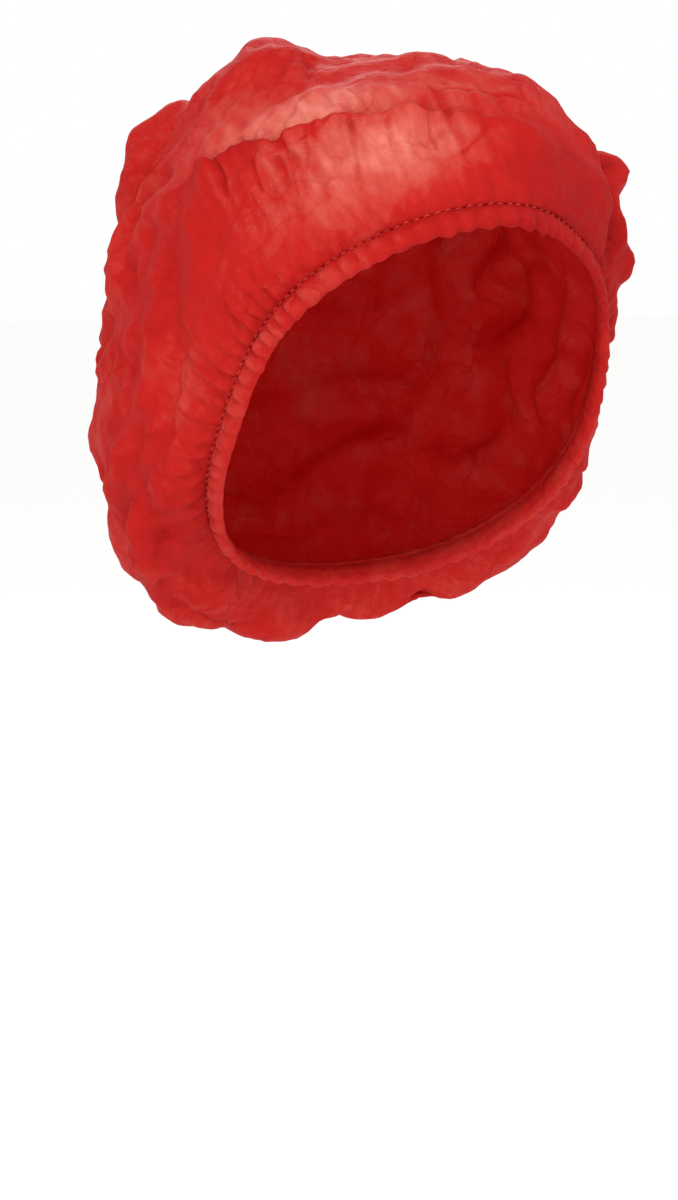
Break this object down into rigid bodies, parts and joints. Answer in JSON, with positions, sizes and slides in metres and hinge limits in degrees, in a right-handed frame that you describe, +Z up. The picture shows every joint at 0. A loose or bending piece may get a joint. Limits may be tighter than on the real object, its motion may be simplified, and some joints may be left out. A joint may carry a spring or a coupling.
{
  "type": "disposable hair cover cap",
  "caption": "Puffed bag cap of thin red non-woven cloth, gathered all round on an elastic hem, worn over the hair to keep it covered.",
  "frame": {"origin": "centre of the elastic loop, where the head goes in", "axes": "+Z up as worn, -Y the way the wearer faces, -X the wearer's right; the loop's plane is tipped 45 degrees, so the cap's own axis leans back"},
  "size_m": [0.169, 0.1973, 0.1954],
  "materials": {
    "cloth": "matte thin non-woven, slightly translucent",
    "elastic": "matte covered elastic"
  },
  "bodies": {
    "root": {"crown": "cloth", "hem": "cloth", "elastic": "elastic"}
  },
  "joints": []
}
